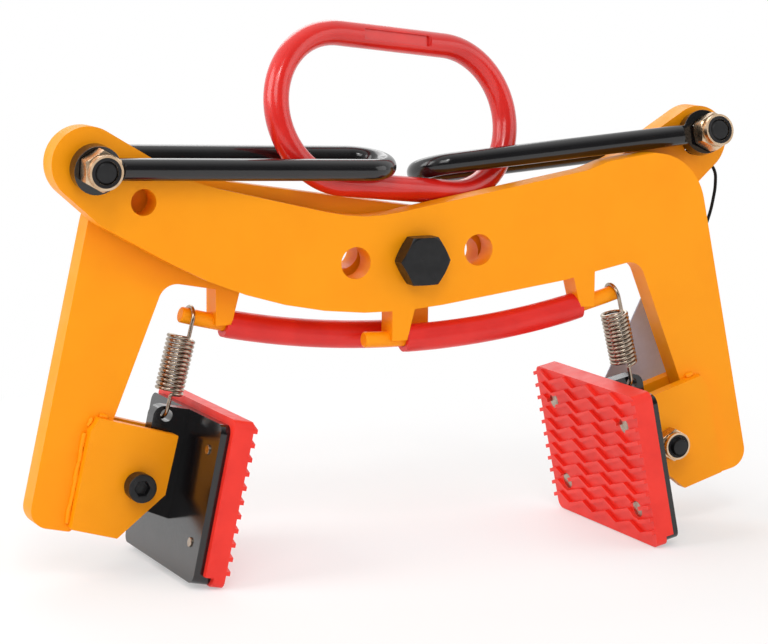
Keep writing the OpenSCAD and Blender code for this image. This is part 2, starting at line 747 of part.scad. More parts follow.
// The head is at the rear of the front arm's leg, so it faces front on the back arm's leg
module jaw_bolt(side) {
    socket_d = jaw_bolt_d * 0.72;
    color(BLACK) on_side(side) at_jaw_bolt() mirror([0, 1, 0]) difference() {
        union() {
            pin_y(jaw_head_d, -jaw_stack - jaw_head_h, -jaw_stack);
            shank_y(jaw_bolt_d, -jaw_stack - 1, jaw_stack + jaw_nut_h + 3);
        }
        hex_y(socket_d, -jaw_stack - jaw_head_h - 1, -jaw_stack - jaw_head_h / 2);
    }
}

module jaw_nut(side) {
    color(ZINC) on_side(side) at_jaw_bolt() mirror([0, 1, 0]) lock_nut(jaw_af, jaw_bolt_d, jaw_stack, jaw_nut_h);
}

// Washers fill the space between the rib and the cheeks
module jaw_washers(side) {
    color(ZINC) on_side(side) at_jaw_bolt() for (s = [FRONT, REAR]) {
        y0 = s * (arm_t / 2 - jaw_washer_t / 2 - 0.05);
        translate([0, y0, 0]) washer_y(2 * rib_boss_r - 4, jaw_bolt_d + 2 * seat, -jaw_washer_t / 2, jaw_washer_t / 2);
    }
}

// Springs

hook_at = [hook_x, bar_z(hook_x)];
lug_at = [jaw_x + lug_hole[0] * cos(jaw_tilt) - lug_hole[1] * sin(jaw_tilt),
          -jaw_z + lug_hole[0] * sin(jaw_tilt) + lug_hole[1] * cos(jaw_tilt)];
spring_span = norm(lug_at - hook_at);
coil_r = (spring_d - wire_d) / 2;
hook_r = (bar_d + wire_d) / 2 + 0.4;
lug_hook_r = (rib_t + wire_d) / 2 + 1;
lug_hook_up = 1.3;    // the hook's bow reaches past the hole's middle
coil_l = spring_turns * spring_pitch;
coil_start = (spring_span - coil_l) / 2 - 0.4;
turn_steps = 14;

// Path along the spring's own Z, from the bar's axis at 0 to the lug's hole; s is the side of the hooks
function spring_path(s) = concat(
    [for (a = [-130:20:90]) [0, s * hook_r * sin(a), -hook_r * cos(a)]],
    [[0, s * (hook_r + coil_r) / 2, coil_start * 0.45], [0, s * coil_r, coil_start * 0.8]],
    [for (i = [0:spring_turns * turn_steps]) let (a = 360 * i / turn_steps)
        [coil_r * sin(a), s * coil_r * cos(a), coil_start + coil_l * i / (spring_turns * turn_steps)]],
    [[0, s * coil_r, coil_start + coil_l + 2.4]],
    [for (a = [90:-20:-110])
        [0, s * lug_hook_r * sin(a), spring_span + lug_hook_up - lug_hook_r + lug_hook_r * cos(a)]]
);

module spring(side) {
    v = lug_at - hook_at;
    color(ZINC) on_side(side) translate([hook_at[0], 0, hook_at[1]]) rotate([0, 90 - atan2(v[1], v[0]), 0])
        tube(spring_path(side == RIGHT ? -1 : 1), wire_d / 2, 8);
}

// Tag

tag_y = 24;            // the tag hangs behind the back arm
tag_tilt = 26.7;       // lean of the tag
tag_top = [221, -33.5]; // eyelet of the tag, from the main pivot
eyelet_d = 9;
eyelet_hole = 5;

module at_tag() {
    translate([tag_top[0], tag_y, pivot_h + tag_top[1]]) rotate([0, tag_tilt, 0]) children();
}

module hang_tag() {
    color(GREY) at_tag() difference() {
        translate([0, 0, -tag_l / 2 + 8]) plate_xz(tag_t) polygon(rounded([
            [-tag_w / 2, -tag_l / 2, 4], [tag_w / 2, -tag_l / 2, 4],
            [tag_w / 2, tag_l / 2, 4], [-tag_w / 2, tag_l / 2, 4]
        ]));
        pin_y(eyelet_d - 2, -2, 2, 32);
    }
}

module tag_eyelet() {
    color(ZINC) at_tag() difference() {
        union() {
            pin_y(eyelet_d, -tag_t / 2 - 0.4, -tag_t / 2, 32);
            pin_y(eyelet_d, tag_t / 2, tag_t / 2 + 0.4, 32);
            pin_y(eyelet_d - 2, -tag_t / 2 - 0.4, tag_t / 2 + 0.4, 32);
        }
        pin_y(eyelet_hole, -2, 2, 32);
    }
}

// The cord's route from the main pivot: out of the eyelet to the back, in a wide bow up
// behind the arm's end, through the spare hole, down the gap between the arms and back
cord_route = [
    [221.4, 24.2, -32.4], [221.8, 25.4, -32], [222.6, 26.6, -30], [225, 26.6, -24.5], [229, 25.6, -16],
    [234, 24, -5], [238.5, 22.8, 4], [242, 22, 14], [244.5, 22, 24], [246, 22, 35],
    [244.8, 22, 44], [240.5, 21.8, 48], [232, 21.4, 46.8], [222, 21, 45.6], [212, 20.8, 45], [202, 20.5, 45],
    [192, 20.5, 45], [185, 19.5, 45], [182.4, 15, 45], [182, 8, 45], [182.2, 3, 44.5],
    [184, 0.2, 42], [187, 0, 36], [191, 0, 28], [196, 0, 20], [202, 1, 11],
    [208, 4, 1], [213, 9, -9], [217.5, 15.5, -18.5], [221, 20, -25.5], [221.8, 21.4, -29.5],
    [221.7, 22.4, -31.8], [221.4, 23.8, -32.4]
];

// Points of a smooth curve through the route's points, n to each stretch
function smooth_path(p, n) =
    let (last = len(p) - 1)
    [for (i = [0:last - 1]) let (a = p[max(i - 1, 0)], b = p[i], c = p[i + 1], d = p[min(i + 2, last)])
        each [for (k = [0:n - 1]) let (t = k / n)
            0.5 * (2 * b + (c - a) * t + (2 * a - 5 * b + 4 * c - d) * t * t + (3 * b - a - 3 * c + d) * t * t * t)],
        p[last]];

module tag_cord() {
    color(BLACK) translate([0, 0, pivot_h]) tube(smooth_path(cord_route, 2), cord_d / 2, 8);
}

// Nodes

arm(RIGHT);  // front_arm
arm(LEFT);  // back_arm
arm_spacer();
pivot_bolt();
pivot_washer();
pivot_nut();
bow(LEFT);  // left_bow
bow(RIGHT);  // right_bow
bow_bolt(LEFT);  // left_bow_bolt
bow_bolt(RIGHT);  // right_bow_bolt
bow_nut(LEFT);  // left_bow_nut
bow_nut(RIGHT);  // right_bow_nut
master_link();
handle_bar(LEFT);  // left_handle_bar
handle_bar(RIGHT);  // right_handle_bar
handle_sleeve(LEFT);  // left_handle_sleeve
handle_sleeve(RIGHT);  // right_handle_sleeve
cheek(LEFT, REAR);  // left_front_cheek
cheek(LEFT, FRONT);  // left_rear_cheek
cheek(RIGHT, FRONT);  // right_front_cheek
cheek(RIGHT, REAR);  // right_rear_cheek
cheek_welds(LEFT);  // left_cheek_welds
cheek_welds(RIGHT);  // right_cheek_welds
jaw_rib(LEFT);  // left_jaw_rib
jaw_rib(RIGHT);  // right_jaw_rib
jaw_plate(LEFT);  // left_jaw_plate
jaw_plate(RIGHT);  // right_jaw_plate
pad(LEFT);  // left_pad
pad(RIGHT);  // right_pad
pad_screws(LEFT);  // left_pad_screws
pad_screws(RIGHT);  // right_pad_screws
jaw_bolt(LEFT);  // left_jaw_bolt
jaw_bolt(RIGHT);  // right_jaw_bolt
jaw_washers(LEFT);  // left_jaw_washers
jaw_washers(RIGHT);  // right_jaw_washers
jaw_nut(LEFT);  // left_jaw_nut
jaw_nut(RIGHT);  // right_jaw_nut
spring(LEFT);  // left_spring
spring(RIGHT);  // right_spring
hang_tag();
tag_eyelet();
tag_cord();
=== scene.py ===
"""Looks of the stone lifting clamp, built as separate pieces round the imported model."""

import json
import logging
import math
from collections.abc import Callable, Iterable, Iterator
from contextlib import contextmanager
from dataclasses import dataclass, field
from enum import Enum
from functools import partial

import bmesh
import bpy
from mathutils import Matrix, Vector

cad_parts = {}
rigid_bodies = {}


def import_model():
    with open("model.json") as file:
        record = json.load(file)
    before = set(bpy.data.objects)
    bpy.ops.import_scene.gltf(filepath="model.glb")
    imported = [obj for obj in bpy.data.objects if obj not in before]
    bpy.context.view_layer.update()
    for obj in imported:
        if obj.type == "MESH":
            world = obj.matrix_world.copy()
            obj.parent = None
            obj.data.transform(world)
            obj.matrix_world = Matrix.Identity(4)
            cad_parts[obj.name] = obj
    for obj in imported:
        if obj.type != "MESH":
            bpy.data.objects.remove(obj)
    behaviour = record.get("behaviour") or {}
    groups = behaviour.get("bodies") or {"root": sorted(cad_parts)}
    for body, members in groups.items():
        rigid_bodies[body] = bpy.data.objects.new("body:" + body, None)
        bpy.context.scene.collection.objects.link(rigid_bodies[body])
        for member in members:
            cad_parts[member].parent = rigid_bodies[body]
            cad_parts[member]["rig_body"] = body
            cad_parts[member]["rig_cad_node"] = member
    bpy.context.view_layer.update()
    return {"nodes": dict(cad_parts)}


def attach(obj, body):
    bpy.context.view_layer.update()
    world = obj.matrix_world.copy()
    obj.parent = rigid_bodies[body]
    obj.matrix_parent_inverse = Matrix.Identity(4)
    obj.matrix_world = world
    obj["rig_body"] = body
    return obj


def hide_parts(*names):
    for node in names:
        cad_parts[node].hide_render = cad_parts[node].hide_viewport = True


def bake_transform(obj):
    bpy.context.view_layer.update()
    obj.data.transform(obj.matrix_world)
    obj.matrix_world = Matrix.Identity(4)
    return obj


logging.basicConfig(level=logging.INFO, format="%(name)s: %(message)s")
log = logging.getLogger("clamp")

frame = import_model()

MM = 0.001
# Height of the main bolt's axis, and half the distance between the arms' middle planes.
PIVOT_H = 0.1894253
ARM_Y = 0.010
# A CAD node's corners closer than this are one, and faces that bend less than this are one flat.
JOIN_CAD = 0.000004
FLAT_DEG = 0.5
WHITE = (1.0, 1.0, 1.0, 1.0)

Piece = bpy.types.Object
Socket = bpy.types.NodeSocket
Material = bpy.types.Material
Colour = tuple[float, float, float]
Point = tuple[float, float, float]
Shaping = Callable[[Piece], None]


class Side(Enum):
    """The two ends of the clamp. The value is the sign of X there."""

    LEFT = -1
    RIGHT = 1

    @property
    def prefix(self) -> str:
        """Start of the names of this side's CAD nodes."""
        return "left_" if self is Side.LEFT else "right_"

    @property
    def arm(self) -> str:
        """Body of the arm whose leg is on this side."""
        return "back_arm" if self is Side.LEFT else "front_arm"

    @property
    def index(self) -> int:
        """Place of this side in a pair of values that gives the left one first."""
        return 0 if self is Side.LEFT else 1


class Slot(str, Enum):
    """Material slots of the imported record."""

    ORANGE = "orange_paint"
    RED = "red_paint"
    BLACK_PAINT = "black_paint"
    BLACK_STEEL = "black_steel"
    ZINC = "zinc_steel"
    RUBBER = "red_rubber"
    HOSE = "red_hose"
    CARD = "grey_card"
    CORD = "black_cord"


def linear(red: int, green: int, blue: int) -> Colour:
    """Scene-linear colour of an 8-bit screen colour."""

    def channel(value: int) -> float:
        """Linear value of one 8-bit channel."""
        share = value / 255
        return share / 12.92 if share <= 0.04045 else ((share + 0.055) / 1.055) ** 2.4

    return (channel(red), channel(green), channel(blue))


class NodeBoard:
    """A material's node tree with short calls for the nodes that the finishes use."""

    def __init__(self, name: str) -> None:
        """Start a material called name with an empty node tree."""
        self.material = bpy.data.materials.new(name)
        self.material.use_nodes = True
        self.tree = self.material.node_tree
        self.tree.nodes.clear()
        self.output = self.tree.nodes.new("ShaderNodeOutputMaterial")
        self.shader = self.tree.nodes.new("ShaderNodeBsdfPrincipled")
        self.tree.links.new(self.shader.outputs["BSDF"], self.output.inputs["Surface"])
        self.place = self.tree.nodes.new("ShaderNodeTexCoord").outputs["Object"]

    def link(self, source: Socket, target: Socket) -> None:
        """Join two sockets."""
        self.tree.links.new(source, target)

    def noise(self, scale: float, detail: float = 2.0, roughness: float = 0.5) -> Socket:
        """Value of a noise over the object's own coordinates.

        Args:
            scale: Cells per metre.
            detail: Octaves of finer noise.
            roughness: Strength of the finer octaves.

        Returns:
            The noise's factor socket.
        """
        node = self.tree.nodes.new("ShaderNodeTexNoise")
        for key, value in (("Scale", scale), ("Detail", detail), ("Roughness", roughness)):
            node.inputs[key].default_value = value
        self.link(self.place, node.inputs["Vector"])
        return node.outputs["Fac"]

    def ramp(self, source: Socket, stops: Iterable[tuple[float, Colour]]) -> Socket:
        """Colours spread over a value.

        Args:
            source: The value to colour.
            stops: Positions from 0 to 1 with their colours.

        Returns:
            The ramp's colour socket.
        """
        node = self.tree.nodes.new("ShaderNodeValToRGB")
        ramp = node.color_ramp
        rows = list(stops)
        while len(ramp.elements) < len(rows):
            ramp.elements.new(0.5)
        for element, (position, colour) in zip(ramp.elements, rows):
            element.position = position
            element.color = (*colour, 1.0)
        self.link(source, node.inputs["Fac"])
        return node.outputs["Color"]

    def tones(
        self, shade: Colour, colour: Colour, scale: float, detail: float, start: float, end: float
    ) -> Socket:
        """Soft clouds of two tones.

        Args:
            shade: Tone where the noise is low.
            colour: Tone where the noise is high.
            scale: Clouds per metre.
            detail: Octaves of finer clouds.
            start: Noise below which the shade is pure.
            end: Noise above which the colour is pure.

        Returns:
            The tone's colour socket.
        """
        return self.ramp(self.noise(scale, detail), [(start, shade), (end, colour)])

    def base(self, tone: Socket) -> None:
        """Take the shader's base colour from a socket."""
        self.link(tone, self.shader.inputs["Base Color"])

    def polish(self, scale: float, low: float, high: float) -> None:
        """Let the roughness wander over the surface.

        Args:
            scale: Patches per metre.
            low: Lowest roughness.
            high: Highest roughness.
        """
        rough = self.spread(self.noise(scale, 3.0), low, high)
        self.link(rough, self.shader.inputs["Roughness"])

    def mix(self, amount: Socket, first: Socket, second: Socket) -> Socket:
        """Blend of two colours.

        Args:
            amount: 0 shows the first, 1 the second.
            first: Colour at 0.
            second: Colour at 1.

        Returns:
            The mixed colour's socket.
        """
        node = self.tree.nodes.new("ShaderNodeMix")
        node.data_type = "RGBA"
        self.link(amount, node.inputs[0])
        self.link(first, node.inputs[6])
        self.link(second, node.inputs[7])
        return node.outputs[2]

    def spread(
        self, source: Socket, low: float, high: float, start: float = 0.3, end: float = 0.7
    ) -> Socket:
        """A value mapped to the range from low to high.

        Args:
            source: The value to map.
            low: Result at start.
            high: Result at end.
            start: Source value that gives low.
            end: Source value that gives high.

        Returns:
            The mapped value's socket.
        """
        node = self.tree.nodes.new("ShaderNodeMapRange")
        ends = (("From Min", start), ("From Max", end), ("To Min", low), ("To Max", high))
        for key, value in ends:
            node.inputs[key].default_value = value
        self.link(source, node.inputs["Value"])
        return node.outputs["Result"]

    def bump(self, height: Socket, depth: float) -> None:
        """Bump the surface.

        Args:
            height: Height from 0 to 1.
            depth: Real depth at height 1, in metres.
        """
        node = self.tree.nodes.new("ShaderNodeBump")
        node.inputs["Distance"].default_value = depth
        node.inputs["Strength"].default_value = 1.0
        self.link(height, node.inputs["Height"])
        self.link(node.outputs["Normal"], self.shader.inputs["Normal"])

    def set(self, **values: float | tuple[float, ...]) -> None:
        """Set single values on the shader, named as its sockets with underscores for spaces."""
        for key, value in values.items():
            self.shader.inputs[key.replace("_", " ")].default_value = value


@dataclass(frozen=True)
class Paint:
    """Sprayed or powder-coated paint with soft tones, a light orange peel and small chips.

    Lengths are in metres, scales in cells per metre. Chips runs from 0, none, to 1, many.
    """

    name: str
    colour: Colour
    shade: Colour
    roughness: float = 0.35
    coat: float = 0.25
    gloss: float = 0.5
    peel: float = 0.00002
    peel_scale: float = 900.0
    chips: float = 0.0
    chip_scale: float = 330.0
    chip_reach: float = 0.32
    chip_rim: float = 0.02
    chip_colour: Colour = (0.12, 0.10, 0.09)

    def material(self) -> Material:
        """Build the paint."""
        board = NodeBoard(self.name)
        tone = board.tones(self.shade, self.colour, scale=28.0, detail=3.0, start=0.3, end=0.62)
        board.set(Coat_Weight=self.coat, Coat_Roughness=0.1)
        board.set(IOR=1.5, Specular_IOR_Level=self.gloss)
        if self.chips > 0:
            spots = board.noise(self.chip_scale, detail=4.0, roughness=0.62)
            dirt = board.ramp(spots, [(0.0, self.chip_colour), (1.0, self.chip_colour)])
            rim = 0.5 + self.chip_reach * (1 - self.chips)
            chipped = board.spread(spots, 0.0, 1.0, rim, rim + self.chip_rim)
            tone = board.mix(chipped, tone, dirt)
        board.base(tone)
        board.polish(60.0, self.roughness * 0.85, self.roughness * 1.2)
        board.bump(board.noise(self.peel_scale), self.peel)
        return board.material


@dataclass(frozen=True)
class Steel:
    """Bare, oxidised or zinc-plated steel with fine turning marks."""

    name: str
    colour: Colour
    shade: Colour
    roughness: float = 0.3
    metallic: float = 1.0
    grain: float = 1500.0
    depth: float = 0.000008

    def material(self) -> Material:
        """Build the steel."""
        board = NodeBoard(self.name)
        tone = board.tones(self.shade, self.colour, scale=160.0, detail=4.0, start=0.32, end=0.66)
        board.base(tone)
        board.set(Metallic=self.metallic)
        board.polish(240.0, self.roughness * 0.8, self.roughness * 1.3)
        board.bump(board.noise(self.grain), self.depth)
        return board.material


@dataclass(frozen=True)
class Rubber:
    """Moulded rubber or hose with a fine matt grain."""

    name: str
    colour: Colour
    shade: Colour
    roughness: float = 0.5
    gloss: float = 0.5
    grain: float = 1400.0
    depth: float = 0.00002

    def material(self) -> Material:
        """Build the rubber."""
        board = NodeBoard(self.name)
        tone = board.tones(self.shade, self.colour, scale=45.0, detail=4.0, start=0.3, end=0.6)
        board.base(tone)
        board.set(IOR=1.48, Specular_IOR_Level=self.gloss)
        board.polish(120.0, self.roughness * 0.88, self.roughness * 1.15)
        board.bump(board.noise(self.grain, detail=3.0), self.depth)
        return board.material


@dataclass(frozen=True)
class Card:
    """Coated card of the hang tag, a little darker in patches."""

    name: str
    colour: Colour
    shade_share: float = 0.93
    depth: float = 0.00001

    def material(self) -> Material:
        """Build the card."""
        board = NodeBoard(self.name)
        shade = tuple(channel * self.shade_share for channel in self.colour)
        board.base(board.tones(shade, self.colour, scale=220.0, detail=4.0, start=0.3, end=0.7))
        board.set(Roughness=0.55)
        board.bump(board.noise(2200.0), self.depth)
        return board.material


@dataclass(frozen=True)
class Yarn:
    """Braided cord with random paler flecks: a painted sheen, as on the crowns of its strands."""

    name: str
    colour: Colour
    crown_share: float = 2.2
    depth: float = 0.00006

    def material(self) -> Material:
        """Build the yarn."""
        board = NodeBoard(self.name)
        # The paler tone is a painted sheen of the strands' crowns, spread over random noise.
        pale = tuple(min(1.0, channel * self.crown_share) for channel in self.colour)
        board.base(board.tones(self.colour, pale, scale=1600.0, detail=2.0, start=0.35, end=0.7))
        board.set(Roughness=0.7, Specular_IOR_Level=0.2)
        board.bump(board.noise(2600.0), self.depth)
        return board.material


Look = Paint | Steel | Rubber | Card | Yarn


@dataclass
class Finishes:
    """Every finish of the clamp, made once and shared by its pieces."""

    made: dict[Slot, Material] = field(default_factory=dict)
    wire: Material | None = None
    nylon: Material | None = None

    def build(self) -> None:
        """Make the materials of all slots, the springs' wire and the nuts' nylon."""
        looks: dict[Slot, Look] = {
            Slot.ORANGE: Paint(
                "orange powder coat", linear(254, 158, 8), linear(252, 154, 5),
                roughness=0.42, coat=0.0, gloss=0.2,
            ),
            Slot.RED: Paint(
                "red link paint", linear(222, 34, 26), linear(204, 24, 18),
                roughness=0.22, coat=0.3, peel=0.00005, peel_scale=420.0, chips=0.2,
            ),
            Slot.BLACK_PAINT: Paint(
                "black gloss paint", linear(18, 17, 19), linear(12, 11, 13),
                roughness=0.16, coat=0.2, peel=0.00004, peel_scale=420.0, gloss=0.55,
            ),
            Slot.BLACK_STEEL: Steel(
                "black oxide", (0.012, 0.012, 0.013), (0.007, 0.007, 0.008),
                roughness=0.34, metallic=0.3,
            ),
            Slot.ZINC: Steel(
                "yellow zinc", linear(222, 196, 166), linear(200, 166, 130), roughness=0.25
            ),
            Slot.RUBBER: Rubber(
                "red pad rubber", linear(242, 50, 36), linear(232, 42, 30),
                roughness=0.42, gloss=0.45,
            ),
            Slot.HOSE: Rubber(
                "red hose", linear(226, 38, 30), linear(212, 30, 24), roughness=0.34
            ),
            Slot.CARD: Card("tag card", linear(182, 192, 212)),
            Slot.CORD: Yarn("black braid", (0.006, 0.006, 0.006)),
        }
        self.made = {slot: look.material() for slot, look in looks.items()}
        self.wire = Steel(
            "spring wire", linear(186, 172, 156), linear(150, 134, 118), roughness=0.22
        ).material()
        self.nylon = Rubber(
            "black nylon", linear(30, 29, 31), linear(22, 21, 23), roughness=0.4, gloss=0.3
        ).material()

    def dress(self, piece: Piece, slot: Slot, look: Material | None = None) -> None:
        """Give a piece the material of a slot, or a look of its own in that slot.

        Args:
            piece: The piece to dress.
            slot: The record's slot that the piece belongs to.
            look: A material that stands in for the slot's own.
        """
        piece.data.materials.clear()
        piece.data.materials.append(look or self.made[slot])


class Bench:
    """The steps that a maker takes by hand in Blender, one operator at a time."""

    @staticmethod
    def pick(*pieces: Piece) -> None:
        """Select only these pieces, or none, and make the last one active."""
        if bpy.context.mode != "OBJECT":
            bpy.ops.object.mode_set(mode="OBJECT")
        bpy.ops.object.select_all(action="DESELECT")
        for piece in pieces:
            piece.select_set(True)
            bpy.context.view_layer.objects.active = piece

    @staticmethod
    def take(name: str) -> Piece:
        """Name the object that an operator has just made, and its data, and return it."""
        piece = bpy.context.view_layer.objects.active
        piece.name = name
        piece.data.name = name
        return piece

    @staticmethod
    @contextmanager
    def editing(chosen: str = "SELECT", kind: str | None = None) -> Iterator[None]:
        """Edit the active piece's mesh inside a with block.

        Args:
            chosen: SELECT to start with the whole mesh selected, DESELECT with none of it.
            kind: Selection mode to change to, VERT or FACE.

        Yields:
            Nothing. The piece is back in object mode after the block.
        """
        bpy.ops.object.mode_set(mode="EDIT")
        if kind:
            bpy.ops.mesh.select_mode(type=kind)
        bpy.ops.mesh.select_all(action=chosen)
        yield
        bpy.ops.object.mode_set(mode="OBJECT")

    @staticmethod
    def copy_node(node: str, name: str) -> Piece:
        """Copy a CAD node as a piece of its own with its loose triangles joined.

        Args:
            node: The CAD node to copy.
            name: Name of the new piece.

        Returns:
            The new piece.
        """
        Bench.pick(frame["nodes"][node])
        bpy.ops.object.duplicate()
        piece = Bench.take(name)
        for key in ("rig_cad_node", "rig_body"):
            del piece[key]
        bpy.ops.mesh.customdata_custom_splitnormals_clear()
        with Bench.editing():
            bpy.ops.mesh.remove_doubles(threshold=JOIN_CAD)
            bpy.ops.mesh.dissolve_limited(angle_limit=math.radians(FLAT_DEG))
            bpy.ops.mesh.select_all(action="SELECT")
            bpy.ops.mesh.vert_connect_concave()
            bpy.ops.mesh.select_all(action="SELECT")
            bpy.ops.mesh.normals_make_consistent(inside=False)
        return piece

    @staticmethod
    def apply(piece: Piece, kind: str, **settings: object) -> None:
        """Put one modifier on the active piece and apply it.

        Args:
            piece: The piece to work on.
            kind: Type of the modifier.
            settings: The modifier's properties, in the order in which they are set.
        """
        modifier = piece.modifiers.new(kind.lower(), kind)
        for key, value in settings.items():
            setattr(modifier, key, value)
        bpy.ops.object.modifier_apply(modifier=modifier.name)

    @staticmethod
    def tidy_normals(piece: Piece, angle: float = 40.0) -> None:
        """Smooth the round faces and let the flat faces keep their own direction.

        Args:
            piece: The piece to work on.
            angle: Sharpest angle that is smoothed, in degrees.
        """
        Bench.pick(piece)
        bpy.ops.object.shade_smooth_by_angle(angle=math.radians(angle))
        Bench.apply(piece, "WEIGHTED_NORMAL", keep_sharp=True, weight=80)

    @staticmethod
    def lathe(name: str, profile: Iterable[tuple[float, float]], steps: int = 48) -> Piece:
        """Turn a profile about Z: one vertex drawn along it, then spun round.

        Args:
            name: Name of the new piece.
            profile: Radius and height of each corner, in metres.
            steps: Faces round the turn.

        Returns:
            The turned piece at the origin.
        """
        Bench.pick()
        bpy.ops.mesh.primitive_plane_add(size=0.001, location=(0, 0, 0))
        piece = Bench.take(name)
        rows = list(profile)
        with Bench.editing("SELECT", "VERT"):
            bpy.ops.mesh.merge(type="CENTER")
            bpy.ops.mesh.select_all(action="SELECT")
            bpy.ops.transform.translate(value=(rows[0][0], 0, rows[0][1]))
            for (r0, z0), (r1, z1) in zip(rows, rows[1:]):
                step = (r1 - r0, 0, z1 - z0)
                bpy.ops.mesh.extrude_region_move(TRANSFORM_OT_translate={"value": step})
            bpy.ops.mesh.select_all(action="SELECT")
            bpy.ops.mesh.spin(steps=steps, angle=math.tau, center=(0, 0, 0), axis=(0, 0, 1))
            bpy.ops.mesh.select_all(action="SELECT")
            bpy.ops.mesh.remove_doubles(threshold=0.000002)
            bpy.ops.mesh.normals_make_consistent(inside=False)
        return piece

    @staticmethod
    def spin_on(centre: Vector, axis: Vector, degrees: float, steps: int) -> None:
        """In edit mode, sweep the selected edges on round an axis, by the right-hand rule.

        Args:
            centre: A point of the axis.
            axis: Direction of the axis.
            degrees: Angle of the sweep.
            steps: Faces along it.
        """
        bpy.ops.mesh.spin(steps=steps, angle=math.radians(degrees), center=centre, axis=-axis)

    @staticmethod
    def place(piece: Piece, where: Matrix) -> None:
        """Move a piece that was made at the origin to its place and fix its mesh there."""
        Bench.pick(piece)
        piece.matrix_world = where
        bpy.ops.object.transform_apply(location=True, rotation=True, scale=True)

    @staticmethod
    def select_where(piece: Piece, test: Callable[[Vector], bool]) -> None:
        """In edit mode, select the vertices whose place passes a test."""
        mesh = bmesh.from_edit_mesh(piece.data)
        for vertex in mesh.verts:
            vertex.select = test(vertex.co)
        mesh.select_flush_mode()
        bmesh.update_edit_mesh(piece.data)

    @staticmethod
    def soften(piece: Piece, width: float, segments: int = 2, angle: float = 35.0) -> None:
        """Round every edge sharper than an angle and smooth the faces between.

        Args:
            piece: The piece to work on.
            width: Width of the round, in metres.
            segments: Faces across the round.
            angle: Sharpest angle left alone, in degrees.
        """
        Bench.pick(piece)
        Bench.apply(
            piece, "BEVEL", width=width, segments=segments, limit_method="ANGLE",
            angle_limit=math.radians(angle), harden_normals=False,
        )
        Bench.tidy_normals(piece)

    @staticmethod
    def finish(piece: Piece, body: str, *nodes: str) -> Piece:
        """Let a piece ride on its body in place of CAD nodes.

        Args:
            piece: The finished piece.
            body: Body of the record that it rides on.
            nodes: CAD nodes that it stands in for.

        Returns:
            The same piece.
        """
        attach(piece, body)
        if nodes:
            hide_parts(*nodes)
        log.info("%s on %s", piece.name, body)
        return piece


@dataclass
class DressedPart:
    """A CAD node whose shape is right, or nearly so, shown with rounded edges and a finish."""

    node: str
    slot: Slot
    body: str
    edge: float = 0.0006
    segments: int = 2

    def build(
        self, finishes: Finishes, look: Material | None = None, shape: Shaping | None = None
    ) -> Piece:
        """Copy the node, shape it, round its edges and dress it.

        Args:
            finishes: The clamp's finishes.
            look: A material that stands in for the slot's own.
            shape: A change of the copy's shape, made before its edges are rounded.

        Returns:
            The dressed piece.
        """
        piece = Bench.copy_node(self.node, self.node + "_piece")
        if shape:
            shape(piece)
        Bench.soften(piece, self.edge, self.segments)
        finishes.dress(piece, self.slot, look)
        return Bench.finish(piece, self.body, self.node)


